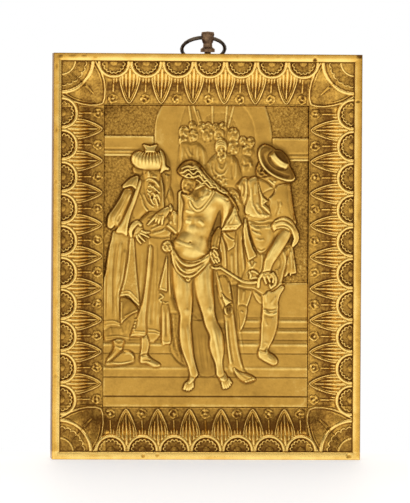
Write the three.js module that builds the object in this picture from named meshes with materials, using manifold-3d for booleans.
// Framed bronze wall relief with a hanging ring, in millimetres, +Z up, the viewer on the -Y side.
// The back plane is y = 0 and the origin lies on the back lip at the middle of the top edge.
import * as THREE from 'three';
import { mergeVertices } from 'three/addons/utils/BufferGeometryUtils.js';
import Module from 'manifold-3d';

// Frame sizes
const frameWidth = 150;
const frameHeight = 197;
const frameDepth = 20;
const rimWidth = 3.6;
const rimDrop = 1.8;
const sightDrop = 9;
const wallThickness = 5;
const backChamfer = 2.6;
const borderWidth = 25;
const borderMid = 12;
const borderMidDrop = 3;
const borderSteep = 18.4;
const borderSteepDrop = 7.4;
const lipThickness = 2.2;

// Panel sizes
const sightWidth = frameWidth - 2 * borderWidth;
const sightHeight = frameHeight - 2 * borderWidth;
const panelRecess = 11.5;
const panelThickness = 3;
const panelTuck = 1.7;
const gap = 0.3;
const wallHeight = 0.7;
const pierHeight = 1.3;
const headSides = 5;

// Border ornament sizes, measured inward from the rim's inner edge
const archRadius = 7.65;
const archReach = 8.2;
const archBand = 1.7;
const archSteps = 4;
const leafLength = 20.6;
const leafHalfWidth = 5.2;
const rosetteRadius = 2.8;
const rosetteReach = 17.9;
const rosetteHeight = 1.1;
const archesAcross = 7;
const archesDown = 10;
const archPitch = 15.4;
const cornerRadius = 16.2;
const cornerBand = 1.7;
const cornerDome = 6.6;

// Hanger sizes
const postForward = 13.4;
const postShankRadius = 1.6;
const postShankDepth = 3.9;
const eyeHeight = 7.9;
const eyeRadius = 1.4;
const eyeFlare = 2.6;
const headRadius = 3.65;
const flangeRadius = 3.5;
const ringRadius = 10.5;
const ringWire = 0.93;
const ringLean = 31;
const ringSlide = -1.5;

// Places worked out from the sizes
const lipMiddle = (backChamfer + wallThickness) / 2;
const topEdge = lipMiddle;
const middleHeight = topEdge - frameHeight / 2;
const groundY = panelRecess - frameDepth;
const sideX = sightWidth / 2 - gap;
const sideZ = sightHeight / 2 - gap;

const wasm = await Module();
wasm.setup();

// Turns a closed geometry into a solid, with its faces pointing out
function solid(geometry) {
  const bare = geometry.clone();
  bare.deleteAttribute('normal');
  bare.deleteAttribute('uv');
  const merged = mergeVertices(bare, 1e-4);
  const place = merged.attributes.position;
  const faces = Array.from(merged.index.array);
  let volume = 0;
  const a = new THREE.Vector3();
  const b = new THREE.Vector3();
  const c = new THREE.Vector3();
  const kept = [];
  for (let i = 0; i < faces.length; i += 3) {
    const [p, q, r] = faces.slice(i, i + 3);
    if (p === q || q === r || p === r) continue;
    kept.push(p, q, r);
    a.fromBufferAttribute(place, p);
    b.fromBufferAttribute(place, q);
    c.fromBufferAttribute(place, r);
    volume += a.dot(b.cross(c));
  }
  if (volume < 0) kept.reverse();
  const vertProperties = new Float32Array(place.array);
  return new wasm.Manifold(new wasm.Mesh({ numProp: 3, vertProperties, triVerts: new Uint32Array(kept) }));
}

// Turns a solid back into a geometry with flat faces
function surface(body) {
  const mesh = body.getMesh();
  const geometry = new THREE.BufferGeometry();
  geometry.setAttribute('position', new THREE.BufferAttribute(mesh.vertProperties, 3));
  geometry.setIndex(new THREE.BufferAttribute(mesh.triVerts, 1));
  return geometry;
}

// Joins a body with every geometry of a list
function joined(body, forms) {
  return forms.reduce((whole, form) => whole.add(solid(form)), body);
}

// An outline raised out of a flat ground: upright up to top - rise, then sloped inward to the top
function raised(outline, top, rise, slope, rounds = 1, bite = 1) {
  const shape = new THREE.Shape(outline.map(([x, y]) => new THREE.Vector2(x, y)));
  const form = new THREE.ExtrudeGeometry(shape, {
    depth: top - rise + bite,
    bevelThickness: rise,
    bevelSize: slope,
    bevelOffset: -slope,
    bevelSegments: rounds,
  });
  const place = form.attributes.position;
  for (let i = 0; i < place.count; i += 1) {
    place.setZ(i, Math.max(place.getZ(i), 0) - bite);
  }
  return form;
}

// The left and right edges of a band along stations of x, y and half width
function bandEdges(stations) {
  return stations.map(([x, y, half], i) => {
    const [x0, y0] = stations[Math.max(i - 1, 0)];
    const [x1, y1] = stations[Math.min(i + 1, stations.length - 1)];
    const run = Math.hypot(x1 - x0, y1 - y0);
    const across = [(-(y1 - y0) / run) * half, ((x1 - x0) / run) * half];
    return { left: [x + across[0], y + across[1]], right: [x - across[0], y - across[1]] };
  });
}

// A limb: a band raised to a rounded crown
function limb(stations, top, rise) {
  const edges = bandEdges(stations);
  const outline = edges.map(({ left }) => left).concat(edges.map(({ right }) => right).reverse());
  const narrowest = Math.min(...stations.map((station) => station[2]));
  return raised(outline, top, rise, narrowest * 0.62);
}

// A fold, cord or narrow band: upright up to top - rise, then sloped to a crest along its middle
function ridge(points, half, top, rise, bite = 1) {
  const foot = top - rise;
  const places = [];
  bandEdges(points.map(([x, y]) => [x, y, half])).forEach(({ left, right }, i) => {
    places.push(...left, -bite, ...left, foot, ...points[i], top, ...right, foot, ...right, -bite);
  });
  const sides = 5;
  const last = sides * (points.length - 1);
  const faces = [];
  for (let start = 0; start < last; start += sides) {
    for (let j = 0; j < sides; j += 1) {
      const a = start + j;
      const b = start + ((j + 1) % sides);
      faces.push(a, b, b + sides, a, b + sides, a + sides);
    }
  }
  for (let j = 1; j + 1 < sides; j += 1) faces.push(0, j + 1, j, last, last + j, last + j + 1);
  const form = new THREE.BufferGeometry();
  form.setAttribute('position', new THREE.Float32BufferAttribute(places, 3));
  return form.setIndex(faces);
}

// An oval outline, turned by tilt degrees
function oval(x, y, halfX, halfY, sides, tilt = 0) {
  const turn = THREE.MathUtils.degToRad(tilt);
  const points = [];
  for (let i = 0; i < sides; i += 1) {
    const angle = (i / sides) * 2 * Math.PI;
    const u = Math.cos(angle) * halfX;
    const v = Math.sin(angle) * halfY;
    points.push([x + u * Math.cos(turn) - v * Math.sin(turn), y + u * Math.sin(turn) + v * Math.cos(turn)]);
  }
  return points;
}

// Points along an arc, between two angles in degrees
function arc(radius, from, to, steps) {
  const points = [];
  for (let i = 0; i <= steps; i += 1) {
    const angle = THREE.MathUtils.degToRad(from + ((to - from) * i) / steps);
    points.push([radius * Math.cos(angle), radius * Math.sin(angle)]);
  }
  return points;
}

// Frame profile: distance in from the outer edge, and drop below the front
const slopeLine = [
  [rimWidth, rimDrop],
  [borderMid, borderMidDrop],
  [borderSteep, borderSteepDrop],
  [borderWidth, sightDrop],
];

// Drop of the border's surface below the front, and its slope, at a distance from the outer edge
function borderSurface(inward) {
  const clamped = THREE.MathUtils.clamp(inward, rimWidth, borderWidth - 0.01);
  const next = slopeLine.findIndex(([edge]) => edge > clamped);
  const [v0, d0] = slopeLine[next - 1];
  const [v1, d1] = slopeLine[next];
  const drop = d0 + ((d1 - d0) * (clamped - v0)) / (v1 - v0);
  return { drop, angle: Math.atan2(d1 - d0, v1 - v0) };
}

// Lays a flat ornament on one side of the border: x runs along the side, y inward from the rim
function onBorder(form, side) {
  const place = form.attributes.position;
  for (let i = 0; i < place.count; i += 1) {
    const along = place.getX(i);
    const inward = rimWidth + place.getY(i);
    const { drop, angle } = borderSurface(inward);
    const proud = place.getZ(i);
    const reach = inward + proud * Math.sin(angle);
    const y = drop - proud * Math.cos(angle) - frameDepth;
    const x = { top: along, bottom: along, left: reach - frameWidth / 2, right: frameWidth / 2 - reach }[side];
    const z = { top: frameHeight / 2 - reach, bottom: reach - frameHeight / 2, left: along, right: along }[side];
    place.setXYZ(i, x, y, z);
  }
  return form;
}

// Lays a flat ornament in one corner: x and y both run inward from the rim's corner
function inCorner(form, signX, signZ) {
  const place = form.attributes.position;
  for (let i = 0; i < place.count; i += 1) {
    const x = rimWidth + place.getX(i);
    const z = rimWidth + place.getY(i);
    const { drop } = borderSurface(Math.min(x, z));
    const y = drop - place.getZ(i) - frameDepth;
    place.setXYZ(i, signX * (frameWidth / 2 - x), y, signZ * (frameHeight / 2 - z));
  }
  return form;
}

// The moulding: a mitred rectangle turned from its profile in four steps, then stretched to height
function mouldingForm() {
  const ribFoot = panelRecess + panelThickness + gap;
  const tuckEdge = borderWidth - panelTuck - gap;
  const profile = [
    [0.4, 0],
    [rimWidth, 0],
    ...slopeLine,
    [borderWidth, sightDrop + lipThickness],
    [tuckEdge, sightDrop + lipThickness],
    [tuckEdge, ribFoot],
    [tuckEdge - 3, ribFoot],
    [tuckEdge - 4, 11.4],
    [borderMid, 8],
    [8, 5.8],
    [wallThickness, 6.2],
    [wallThickness, frameDepth],
    [backChamfer, frameDepth],
    [0, frameDepth - backChamfer],
    [0, 0.4],
  ];
  profile.push(profile[0]);
  const half = frameWidth / 2;
  const line = profile.map(([v, drop]) => new THREE.Vector2((half - v) * Math.SQRT2, drop - frameDepth));
  const form = new THREE.LatheGeometry(line, 4, Math.PI / 4);
  const place = form.attributes.position;
  for (let i = 0; i < place.count; i += 1) {
    const z = place.getZ(i);
    place.setZ(i, z + Math.sign(z) * (frameHeight - frameWidth) / 2);
  }
  return form;
}

// One half ring, at the rim
function rimArch(along) {
  const form = ridge(arc(archRadius - archBand / 2, -4, 184, archSteps), archBand / 2, 1, 1.1);
  return form.translate(along, archReach - archRadius, 0);
}

// One pointed leaf, from the rim to the sight edge
function borderLeaf(along) {
  const side = [[0.9, 0.8], [4.5, borderMid - rimWidth], [leafHalfWidth, borderSteep - rimWidth]];
  const mirrored = side.map(([x, y]) => [-x, y]).reverse();
  return raised([...side, [0, leafLength], ...mirrored], 0.9, 1, 0.8).translate(along, 0, 0);
}

// One rosette, a low boss under a half ring
function rosette(along) {
  const boss = new THREE.ConeGeometry(rosetteRadius, rosetteHeight, 6);
  return boss.rotateX(Math.PI / 2).translate(along, rosetteReach, rosetteHeight / 2 - 0.2);
}

// The row of ornament along one side
function borderRow(side, count) {
  const forms = [];
  for (let i = 0; i < count; i += 1) {
    const along = (i - (count - 1) / 2) * archPitch;
    forms.push(onBorder(rimArch(along), side));
    forms.push(onBorder(rosette(along), side));
    if (i > 0) forms.push(onBorder(borderLeaf(along - archPitch / 2), side));
  }
  return forms;
}

// A corner: quarter ring, quarter dome and a broad leaf
function cornerForms(signX, signZ) {
  const ring = ridge(arc(cornerRadius - cornerBand / 2, 0, 90, 4), cornerBand / 2, 1, 1.1);
  const dome = raised([[0, 0], ...arc(cornerDome, 0, 90, 3)], 1.1, 1.2, 1.2);
  const leafOutline = [[11, 11], [18.2, 2], [20.6, 13], [20.2, 20.2], [13, 20.6], [2, 18.2]];
  const leaf = raised(leafOutline, 1, 1.1, 0.9, 1, 2.2);
  return [ring, dome, leaf].map((form) => inCorner(form, signX, signZ));
}

function frameBody() {
  const forms = [
    ...borderRow('top', archesAcross),
    ...borderRow('bottom', archesAcross),
    ...borderRow('left', archesDown),
    ...borderRow('right', archesDown),
  ];
  for (const signX of [-1, 1]) {
    for (const signZ of [-1, 1]) forms.push(...cornerForms(signX, signZ));
  }
  const bore = new THREE.CylinderGeometry(postShankRadius + gap, postShankRadius + gap, 8, 10);
  bore.rotateX(Math.PI / 2).translate(0, -postForward, frameHeight / 2 + 4 - postShankDepth - gap);
  return joined(solid(mouldingForm()), forms).subtract(solid(bore));
}

// A rectangle as an outline
function box(x0, z0, x1, z1) {
  return [[x0, z0], [x1, z0], [x1, z1], [x0, z1]];
}

// Walls, archway, string courses and plinth
function architecture() {
  const farArch = [
    [-12, 66], [-9.4, sideZ], [17.4, sideZ], [22, 67], [24, 57], [16, 57],
    [15.4, 63], [12.3, 68], [9, 70.2], [3, 70.2], [0, 69], [-3, 64],
  ];
  const pierLeft = [
    [-25.5, 22], [-25.4, 62], [-24, 69], [-21.5, sideZ], [-10, sideZ], [-12, 69], [-13.5, 62], [-13.5, 22],
  ];
  const pierRight = [
    [32, 30], [32, 58], [31, 65], [28.5, sideZ], [18, sideZ], [21.5, 68], [23.6, 62], [24, 30],
  ];
  const course = (x0, x1, top) => [
    raised(box(x0, top - 6.4, x1, top), 1.6, 1, 0.3),
    raised(box(x0, top - 10.2, x1, top - 7.2), 1.2, 0.6, 0.3),
  ];
  return [
    raised(box(-sideX, -32, -25, sideZ), wallHeight, 0.2, 0.1),
    raised(box(31.5, -32, sideX, sideZ), wallHeight, 0.2, 0.1),
    raised(box(-25.3, -32, 31.7, 33.4), wallHeight, 0.2, 0.1),
    raised(farArch, 0.4, 0.3, 0.2),
    raised(pierLeft, pierHeight, 0.8, 0.4),
    raised(pierRight, pierHeight, 0.8, 0.4),
    ...course(-sideX, -26, 58.6),
    ...course(32.2, sideX, 57.7),
    raised(box(18, -32, sideX, -12.8), 1.4, 0.5, 0.3),
  ];
}

// The flight of steps: one profile of height and depth, run across the whole panel
function steps() {
  const edges = [-29.5, -34.7, -40.6, -47.2, -58.7, -67.6];
  const nosings = [-31.5, -36.6, -43, -54.5, -64.5, -68.6];
  const rises = [2, 2.4, 2.8, 3.2, 3.6, 4.1];
  const profile = [[edges[0], -1], [edges[0], 1.4]];
  nosings.forEach((nosing, i) => {
    profile.push([nosing, rises[i]]);
    profile.push([edges[i + 1] ?? -sideZ, rises[i]]);
    if (i + 1 < edges.length) profile.push([edges[i + 1] - 0.1, rises[i] - 0.25]);
  });
  profile.push([-sideZ, -1]);
  const shape = new THREE.Shape(profile.map(([z, h]) => new THREE.Vector2(z, h)));
  const form = new THREE.ExtrudeGeometry(shape, { depth: 2 * sideX, bevelEnabled: false });
  const [right, up, out] = [[1, 0, 0], [0, 1, 0], [0, 0, 1]].map((axis) => new THREE.Vector3(...axis));
  form.applyMatrix4(new THREE.Matrix4().makeBasis(up, out, right));
  return form.translate(-sideX, 0, 0);
}

// The crowd under the arch, with the bearded elder in its middle
function crowd() {
  const backs = [
    [-13.4, 36], [-13.4, 61], [-8, 64.6], [9, 64.6], [16, 58], [22.5, 57.4], [24.2, 50], [24.2, 34],
  ];
  const heads = [
    [-11, 61.5, 2.3], [-7, 63.6, 1.6], [-6.5, 59, 2.3], [-2.5, 63.3, 2], [1, 63.2, 1.6], [4.5, 63, 1.5],
    [7.8, 63.2, 1.8], [0.5, 60, 2.5], [6, 60, 2.3], [13, 60, 2.6], [13, 54.5, 2.8], [17.8, 56.6, 1.6],
    [21.5, 56, 1.9], [20, 51.6, 2.3],
  ];
  const spears = [
    [[-7, sideZ], [-3.6, 64]], [[2.8, sideZ], [2.8, 63]], [[13.3, sideZ], [10.3, 62]],
  ];
  const mantle = [
    [0.3, 42], [0.6, 45.5], [4.4, 50], [12, 50], [15, 47.5], [17, 41], [18, 37], [8, 34],
  ];
  return [
    raised(backs, 1, 1.1, 0.6),
    ...spears.map((line) => ridge(line, 0.4, 0.9, 1)),
    ...heads.map(([x, z, r]) => raised(oval(x, z, r, r * 1.15, headSides), 1.9, 1.1, r * 0.5)),
    raised([[-3, 44], [-4, 54], [-2, 55.4], [0.3, 51], [0.8, 44]], 1.6, 0.7, 0.6),
    raised(mantle, 2.1, 1.3, 1),
    raised(oval(7, 55, 3.1, 3, 6), 2.9, 1.9, 1.2),
    raised(oval(7.3, 51, 2.1, 4, 5), 2.6, 1.6, 0.9),
    ridge([[3, 46], [5.4, 40.4], [9.4, 41.6], [11, 46]], 0.5, 2.6, 0.8),
    ridge([[13, 47], [13.6, 38]], 0.6, 2.6, 0.8),
    raised([[17, 48.5], [22, 47], [23.4, 38], [17.5, 38]], 1.7, 0.9, 0.8),
  ];
}

// The elder on the left, with turban, beard and long mantle
function turbanedElder() {
  const body = [
    [-35, 42], [-40, 34], [-47, 20], [-46, 11.8], [-49, -12], [-49.6, -40.6], [-22.4, -39],
    [-22.2, -43], [-17, -43], [-16.4, -38], [-13, -38], [-12.9, -30], [-15.6, -23], [-17, -4],
    [-16.6, 9], [-13.4, 12], [-20.6, 28], [-22.6, 40],
  ];
  const sleeve = [
    [-40, 32.4], [-48, 20], [-48.2, 14], [-44.4, 13.6], [-36.2, 33],
  ];
  const cape = [[-33, 40.5], [-36.4, 39.5], [-40.8, 34], [-34.2, 32.6], [-32, 36]];
  const border = [[-32.4, 36.5], [-36, 28], [-44, 12], [-38.6, 9.6], [-37.4, 15], [-34, 27]];
  const scarf = [
    [-37.4, 9.5], [-40, -12], [-42.2, -19.5], [-38.4, -19.4], [-33, -24.6], [-35.2, 8.5],
  ];
  const scarfBack = [[-41.6, -20.2], [-38, -20.6], [-32.6, -26.2], [-41, -32.6]];
  const beard = [[-29.8, 34.5], [-28.6, 28], [-23.6, 22.6], [-22.2, 29], [-23.6, 35.5]];
  const turbanBack = [[-36, 46], [-35.6, 51], [-31.4, 54.4], [-24.6, 54.4], [-19.2, 49.6], [-19, 42.4]];
  const tail = [[-22.6, 51.6], [-19.8, 50], [-18.2, 42.4], [-20.4, 40.8], [-22.4, 41.8]];
  const farSleeve = [[-19.9, 15], [-17.4, 24.6], [-15, 22], [-12.2, 20], [-12, 14], [-14.6, 10.4]];
  const frontFoot = [
    [-32, -48.6], [-28.4, -47.4], [-22.2, -52.3], [-22.6, -53.9], [-25.4, -54.2], [-31.8, -51.8],
  ];
  const backFoot = [[-45, -40], [-40, -40], [-40.2, -46], [-47.4, -51.4], [-48, -50]];
  const backShoe = [[-40, -46], [-35.6, -46], [-34.4, -52], [-45, -54], [-48.8, -53], [-46, -50]];
  const openHand = [
    [-36.8, 10], [-36.4, 14.4], [-33.8, 17], [-31.4, 12.6], [-27.6, 11.6], [-32, 6.2],
  ];
  const pointingHand = [
    [-28.4, 15.2], [-19.6, 23.8], [-17.4, 22.8], [-20.8, 15.4], [-24.6, 16], [-24.4, 18],
  ];
  const folds = [
    [[-46.2, 8], [-46.8, -36]],
    [[-27.4, 8], [-28.6, -8], [-32.6, -38]],
    [[-24.6, 2], [-25, -37]],
    [[-19.9, -24], [-19.6, -42]],
    [[-43.6, 19.5], [-38.8, 29]],
    [[-32, 29.5], [-28.6, 21.6], [-24, 21.8]],
    [[-26.4, 11], [-22, 12], [-19.6, 13.8]],
  ];
  return [
    raised(body, 3, 2.5, 1.2),
    raised(sleeve, 3.9, 2.4, 1.1),
    raised(cape, 4.4, 1.6, 0.8),
    raised(border, 4.4, 1.5, 0.6),
    raised(scarf, 4.1, 1.3, 0.6),
    raised(scarfBack, 3.6, 0.8, 0.6),
    raised(farSleeve, 3.8, 2.2, 1),
    raised([[-18.8, 2], [-23, -15.8], [-19, -17]], 4, 1.2, 0.6),
    ...folds.map((line) => ridge(line, 0.8, 3.7, 0.9)),
    raised(openHand, 4.9, 2, 0.7),
    raised(pointingHand, 4.9, 2, 0.5),
    raised([[-29.5, 41.5], [-30.6, 37], [-27, 33], [-23.4, 36], [-23, 42]], 4.4, 2.2, 0.9),
    raised(beard, 4.9, 2, 1),
    raised(turbanBack, 4, 3.4, 1),
    raised([[-30.8, 54.2], [-25.2, 54.2], [-25.8, 48.6], [-30.2, 48.6]], 4.9, 1.4, 0.6),
    raised(tail, 4.8, 1.4, 0.5),
    raised(oval(-29.6, 46.2, 7.4, 4.4, 10), 6, 2.2, 1.9),
    raised([[-31.6, -38.5], [-26.6, -38.5], [-27.8, -48.6], [-31.4, -48.6]], 4.4, 3, 1),
    raised(frontFoot, 4.9, 2.2, 0.8),
    raised(backShoe, 3.9, 2, 0.7),
    raised(backFoot, 4.4, 2, 0.7),
  ];
}

// The long mantle that hangs behind the bound figure
function hangingMantle() {
  const fall = [
    [6, 33], [13, 33.4], [16, 31], [17.8, 25], [18.2, 8], [22.4, -16], [15.8, -16], [16, -37],
    [20.4, -58], [6.4, -57.6], [-3, -57.6], [-7, -30], [0, -6], [8, 8],
  ];
  const flare = [[14.2, 24.8], [7, 15.4], [7, 12.6], [14.6, 13], [16.4, 15.8]];
  const flap = [[7.4, 12.4], [14.4, 12.8], [13.8, 5], [10.4, 3]];
  const folds = [
    [[7.6, 9], [9, 0], [9.4, -8]],
    [[14.8, 3], [15, -12]],
    [[18, 4], [19.4, -10]],
    [[11.2, -9], [14.2, -30], [17.8, -54]],
    [[1, -43], [2.4, -56]],
  ];
  return [
    raised(fall, 2.5, 2, 0.9),
    raised(flare, 4, 1.7, 0.8),
    raised(flap, 3.4, 1, 0.6),
    raised([[6, -10], [8, -16.4], [13.2, -21.8], [9.2, -23], [7, -17]], 4, 1.6, 0.3),
    raised(oval(11, -25.8, 1.9, 3, 5), 3.7, 1.3, 0.7),
    ...folds.map((line) => ridge(line, 0.6, 3.1, 0.9)),
    raised([[13, -54], [17.2, -60.4], [20, -61.8], [24, -60.8], [24.6, -58.6], [19, -56]], 4.8, 2, 0.8),
  ];
}

// The bound figure in the middle
function boundFigure() {
  const torso = [
    [-11.6, 30], [-11.2, 15], [-16.4, 6], [-16.4, 2], [-10, -3], [-3, -3], [1.6, 1], [1.4, 8],
    [6.2, 22.4], [7, 28], [3, 32],
  ];
  const hair = [
    [-14.2, 40], [-12, 44.6], [-8, 46.8], [-4, 46], [6, 35], [10, 31.6], [8, 30], [1.6, 33.4], [-3, 37.4],
  ];
  const loincloth = [
    [-17, 4], [-12, -0.6], [-7, -1.6], [1.4, 1.8], [2, -0.4], [-7, -12], [-9.4, -12], [-15, -6.4],
  ];
  const swags = [
    [[-15.6, 2.6], [-12, -2], [-7, -3.4], [0.6, 0.6]],
    [[-16.2, -2], [-13, -7.4], [-8.6, -9.6], [-0.6, -3.6]],
  ];
  const rightLeg = [
    [-11.4, -4, 4.9], [-11.2, -16, 4.5], [-10.1, -28, 3.3], [-9.4, -41, 3.3], [-5.3, -56, 1.9],
    [-6, -60, 2.2], [-8, -64.2, 1.6],
  ];
  const leftLeg = [
    [-1.8, -6, 4.6], [-0.4, -16, 4.3], [1.8, -28, 2.9], [5.4, -41, 3.5], [6.7, -54, 1.7],
    [8.2, -60, 2], [10.2, -63.6, 1.3],
  ];
  return [
    limb(rightLeg, 5, 2.6),
    limb(leftLeg, 5, 2.6),
    raised(torso, 5, 2.6, 1.9, 2),
    raised([[-10.6, 28.5], [6, 29], [5, 23], [-1.4, 20], [-9.8, 20.6]], 5.7, 1.2, 1.6),
    limb([[-12.2, 31, 1.5], [-12.2, 20, 1.6], [-12.8, 12, 1.2]], 4.9, 2.4),
    limb([[7.8, 29.6, 2.8], [9.2, 24, 2.6], [6, 12.6, 1.1]], 4.7, 2.3),
    raised([[5.6, 12.4], [1.2, 8.3], [2, 2.4], [6.4, 2], [6.8, 8]], 4.3, 1.8, 1.2),
    raised([[1.8, 2.8], [5.6, 3.8], [7.2, 0.6], [6.4, -3.6], [2.4, -4]], 5, 2, 0.9),
    raised([[-9, 33], [-2, 36], [0.4, 33], [-4.4, 23.4]], 5.4, 1, 0.8),
    raised(oval(-8.8, 35.4, 3.6, 5, 7, 12), 6, 3, 1.4),
    raised(hair, 6.1, 3, 1),
    ridge([[-13, 42], [-11.8, 31.6]], 1, 5.6, 2.4),
    ridge([[-8, 26.4], [-4.6, 22.5], [0.2, 26.4], [3, 31.4]], 0.45, 6.1, 0.9),
    raised(loincloth, 5.3, 1.6, 0.9),
    ...swags.map((line) => ridge(line, 0.7, 5.9, 0.9)),
    raised(oval(-19, 4.8, 2.5, 2.7, 6), 4.9, 2, 0.9),
    ridge([[7, -5.4], [13, -9.3], [19, -12.5], [25, -12.5]], 0.5, 4.2, 1.8),
  ];
}

// The man on the right, with a wide hat, rolled sleeve and one leg on the steps
function manWithHat() {
  const coat = [
    [14.3, 34.5], [18.6, 38.8], [25, 39.6], [40, 36.6], [43.6, 18], [45, 10], [43, 4],
    [44.3, -8.4], [38, -9], [37.3, -14.2], [28.3, -18.4], [23, -15.8],
    [15.5, -13.8], [20, 4], [18.9, 18], [17, 27],
  ];
  const belly = [[20.4, 17.5], [32, 17.8], [33, 12], [31, 4], [27.3, 0.8], [24.4, 1.4]];
  const chest = [[18.6, 38], [25, 38.8], [27.2, 24.4], [31.4, 20.6], [24, 19.4], [19.4, 22.4]];
  const cuff = [
    [32, 15.2], [38.6, 19.3], [42.6, 16.8], [45.3, 10], [42.5, 4.8], [41, 11], [37.6, 14.2], [33, 13.4],
  ];
  const brim = [
    [28, 54.6], [25.1, 51], [26.4, 45.4], [31.4, 39.6], [40.6, 36.7], [43.8, 38.2],
    [42.6, 43], [38.6, 49.6], [33.4, 53.6],
  ];
  const strap = [[18.5, 18], [18.4, 8], [20.9, -1.8], [24.6, 0.3], [19.4, 18.4]];
  const leg = [[32.3, -16.5, 4.6], [31.6, -28, 4], [28.6, -45.4, 2.2]];
  const shoe = [
    [25.7, -45], [29.7, -44], [35.2, -50], [35, -52.2], [32.6, -53], [25.7, -48.6],
  ];
  const folds = [
    [[18.6, 37], [18.8, 27]],
    [[27, 29.5], [27.3, 24.8], [30.8, 21.2]],
    [[22.6, 15.4], [26, 12.6], [30.4, 14.6]],
    [[28, -26.2], [31.6, -27.8], [35.2, -26]],
    [[36.4, 1], [34.6, -8], [33.6, -14.6]],
    [[17.8, -17], [17.4, -25]],
  ];
  return [
    raised([[15.6, -13], [22.6, -15.6], [20, -24.8], [16, -25.8]], 3, 0.7, 0.5),
    raised(coat, 3.5, 3, 1.1),
    raised(chest, 4.3, 1.1, 0.9),
    raised(belly, 4.4, 1.2, 1.4),
    raised(strap, 4.3, 1.4, 0.4),
    ...folds.map((line) => ridge(line, 0.7, line[0][1] < -15 ? 5 : 4.9, 0.9)),
    limb(leg, 4.5, 2.8),
    raised(shoe, 4.9, 2.4, 0.9),
    raised([[25.4, 46], [25, 40], [34.2, 34.6], [37, 38], [31, 45]], 4.8, 2.4, 1),
    raised(brim, 5.6, 3.6, 0.9),
    raised([[30.4, 49.4], [34.4, 51.8], [40, 45], [37.4, 42.8], [32.6, 44.6]], 6.3, 1, 0.7),
    limb([[37.4, 12.6, 2.5], [31, -0.6, 2.7], [29.6, -4.6, 2.1], [29.6, -9, 2.8]], 5.6, 2.4),
    raised(cuff, 5.9, 2.8, 0.9),
    ridge([[26.4, -8.6], [25.5, -14.6]], 0.5, 5, 1.8),
    ridge([[32.4, -8.6], [34.1, -11.4], [31.4, -14.9]], 0.5, 5, 1.8),
    raised([[20.8, -7], [25.4, -6.6], [24.6, -10.4], [21.4, -10.6]], 4.2, 1.2, 0.6),
  ];
}

function panelBody() {
  const width = sightWidth + 2 * panelTuck;
  const height = sightHeight + 2 * panelTuck;
  const plate = new THREE.BoxGeometry(width, height, panelThickness).translate(0, 0, -panelThickness / 2);
  const forms = [
    ...architecture(),
    steps(),
    ...crowd(),
    ...turbanedElder(),
    ...hangingMantle(),
    ...manWithHat(),
    ...boundFigure(),
  ];
  return joined(solid(plate), forms);
}

// The turned post: shank, flange, waist and pierced head
function postBody() {
  const profile = [
    [0, -postShankDepth],
    [postShankRadius, -postShankDepth],
    [postShankRadius, 0.9],
    [flangeRadius, 0.9],
    [flangeRadius, 2.4],
    [2.3, 3.3],
    [2.2, 5],
    [headRadius, 7.2],
    [headRadius, 9.3],
    [2.9, 10.6],
    [0, 11],
  ];
  const turned = new THREE.LatheGeometry(profile.map(([r, z]) => new THREE.Vector2(r, z)), 12);
  const flare = [[0, -4], [eyeFlare + 0.1, -4], [eyeRadius, -0.4], [eyeRadius, 0.4], [eyeFlare + 0.1, 4], [0, 4]];
  const eye = new THREE.LatheGeometry(flare.map(([r, x]) => new THREE.Vector2(r, x)), 10);
  turned.rotateX(Math.PI / 2);
  eye.rotateZ(Math.PI / 2).translate(0, 0, eyeHeight);
  return solid(turned).subtract(solid(eye));
}

const gilt = new THREE.MeshStandardMaterial({ color: 0xc0934a, roughness: 0.42, metalness: 1 });
const giltPanel = new THREE.MeshStandardMaterial({ color: 0xb98a40, roughness: 0.45, metalness: 1 });
const darkBronze = new THREE.MeshStandardMaterial({ color: 0x6a5138, roughness: 0.5, metalness: 1 });

const plaque = new THREE.Group();

function piece(name, geometry, material, x, y, z) {
  const mesh = new THREE.Mesh(geometry, material);
  mesh.name = name;
  mesh.position.set(x, y, z);
  plaque.add(mesh);
  return mesh;
}

piece('frame', surface(frameBody()), gilt, 0, 0, middleHeight);
const panelGeometry = surface(panelBody()).rotateX(Math.PI / 2);
piece('relief_panel', panelGeometry, giltPanel, 0, groundY, middleHeight);
piece('hanger_post', surface(postBody()), darkBronze, 0, -postForward, topEdge);

// The ring leans back on the frame's top edge and has slid a little to one side
const ringForm = new THREE.TorusGeometry(ringRadius, ringWire, 6, 24);
const hangDrop = Math.sqrt(ringRadius ** 2 - ringSlide ** 2);
ringForm.translate(ringSlide, -hangDrop, 0);
const ring = piece('hanger_ring', ringForm, darkBronze, 0, -postForward, topEdge + eyeHeight);
ring.rotation.x = THREE.MathUtils.degToRad(180 - ringLean);

export default plaque;
